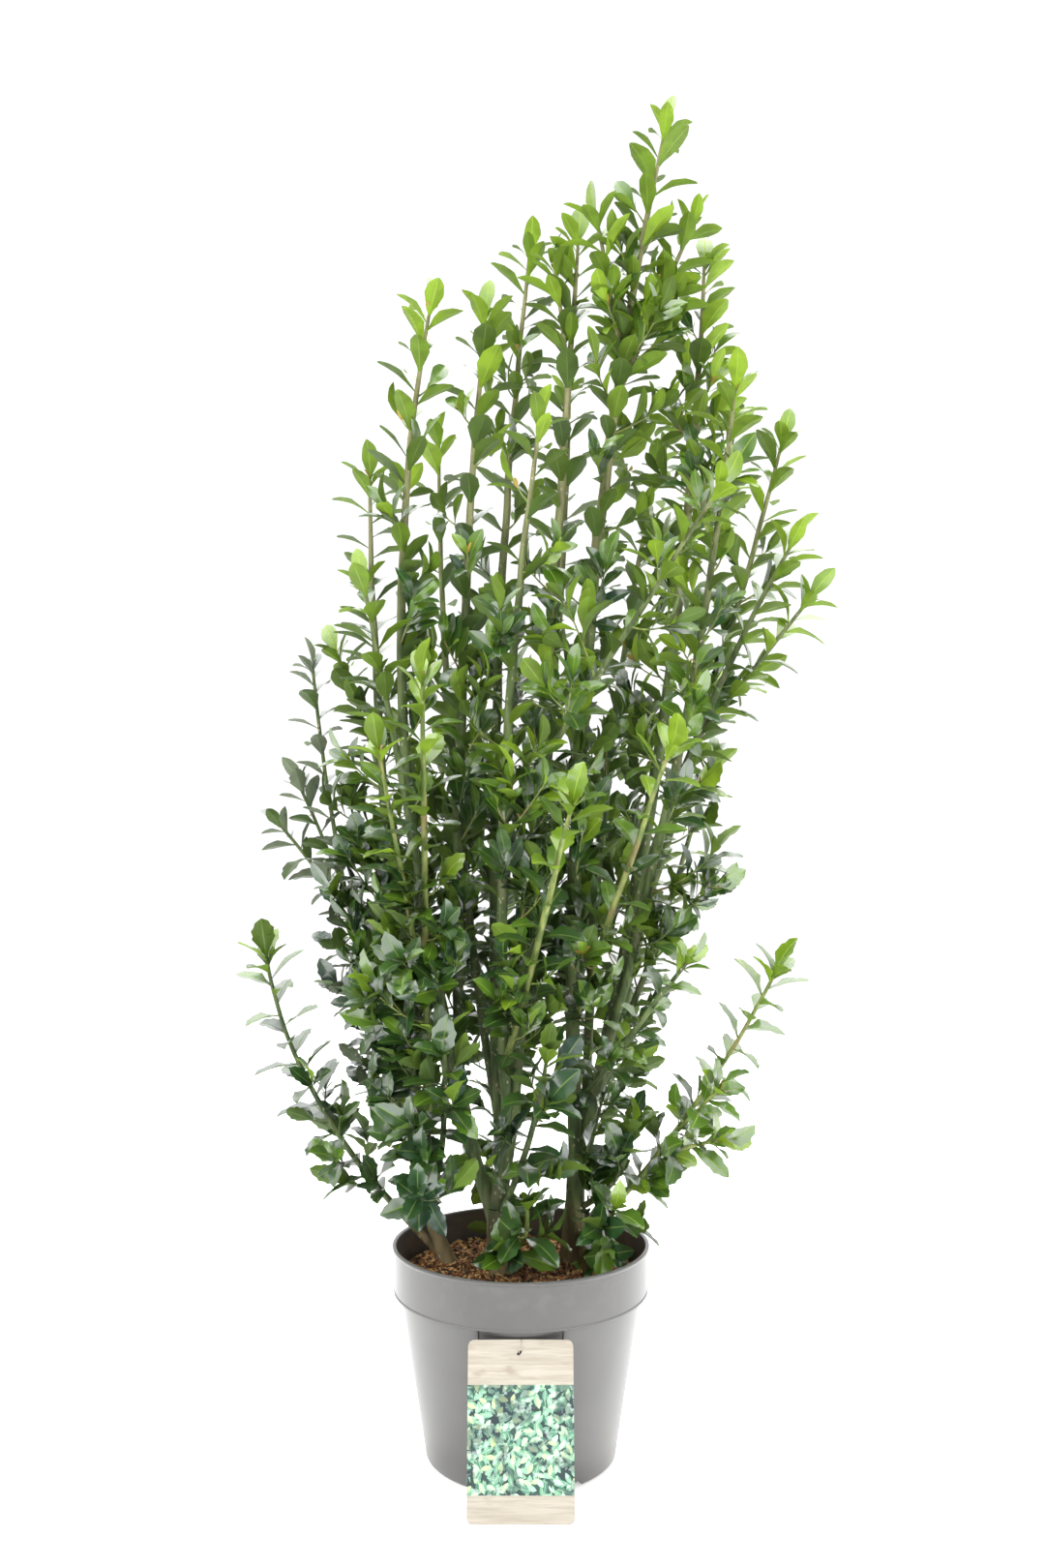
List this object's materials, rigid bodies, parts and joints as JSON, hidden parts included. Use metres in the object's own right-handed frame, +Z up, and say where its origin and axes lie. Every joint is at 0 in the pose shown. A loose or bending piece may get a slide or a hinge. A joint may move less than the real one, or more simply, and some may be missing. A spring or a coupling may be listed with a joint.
{
  "type": "potted meserve holly shrub",
  "caption": "Tall young meserve holly with upright leafy leaders, standing in a round grey nursery pot with a plain picture label leaning on it.",
  "frame": {"origin": "centre of the pot's flat underside", "axes": "+Z up, +X to the viewer's right, and -Y towards the viewer and the label"},
  "size_m": [0.7601, 0.5448, 1.6885],
  "materials": {
    "pot_plastic": "satin",
    "potting_bark": "rough",
    "label_card": "satin",
    "stem_bark": "rough",
    "low_foliage": "glossy",
    "top_foliage": "satin"
  },
  "bodies": {
    "root": {"pot": "pot_plastic", "soil": "potting_bark", "label": "label_card", "trunk_centre": "stem_bark", "trunk_left": "stem_bark", "trunk_right": "stem_bark", "fork_left": "stem_bark", "fork_middle": "stem_bark", "bough_top": "stem_bark", "bough_right_inner": "stem_bark", "bough_mid_tall": "stem_bark", "bough_mid_left": "stem_bark", "bough_left_tall": "stem_bark", "bough_front_bright": "stem_bark", "bough_left_edge": "stem_bark", "bough_left_outer": "stem_bark", "bough_grey": "stem_bark", "bough_left_green": "stem_bark", "bough_low_left": "stem_bark", "bough_low_right": "stem_bark", "bough_right_edge": "stem_bark", "bough_right_bright": "stem_bark", "bough_right_outer": "stem_bark", "bough_right_lower": "stem_bark", "bough_back_right": "stem_bark", "bough_back_low": "stem_bark", "bough_back_low_right": "stem_bark", "foliage_top": "top_foliage", "foliage_right_inner": "top_foliage", "foliage_mid_tall": "top_foliage", "foliage_mid_left": "top_foliage", "foliage_left_second": "top_foliage", "foliage_left_tall": "top_foliage", "foliage_front_bright": "top_foliage", "foliage_left_edge": "top_foliage", "foliage_left_outer": "low_foliage", "foliage_left_brown": "low_foliage", "foliage_grey": "low_foliage", "foliage_left_green": "low_foliage", "foliage_low_left": "low_foliage", "foliage_low_right": "low_foliage", "foliage_right_edge": "top_foliage", "foliage_right_bright": "top_foliage", "foliage_right_outer": "top_foliage", "foliage_right_lower": "low_foliage", "foliage_right_green": "low_foliage", "foliage_right_bottom": "low_foliage", "foliage_front_centre": "low_foliage", "foliage_back_left": "top_foliage", "foliage_back_mid": "top_foliage", "foliage_back_right": "top_foliage", "foliage_back_low": "low_foliage", "foliage_back_low_left": "low_foliage", "foliage_back_low_right": "low_foliage", "foliage_front_tuft": "low_foliage", "foliage_low_front": "low_foliage", "foliage_low_middle": "low_foliage", "foliage_low_inner": "low_foliage", "foliage_low_back": "low_foliage", "foliage_right_tuft": "low_foliage"}
  },
  "joints": []
}
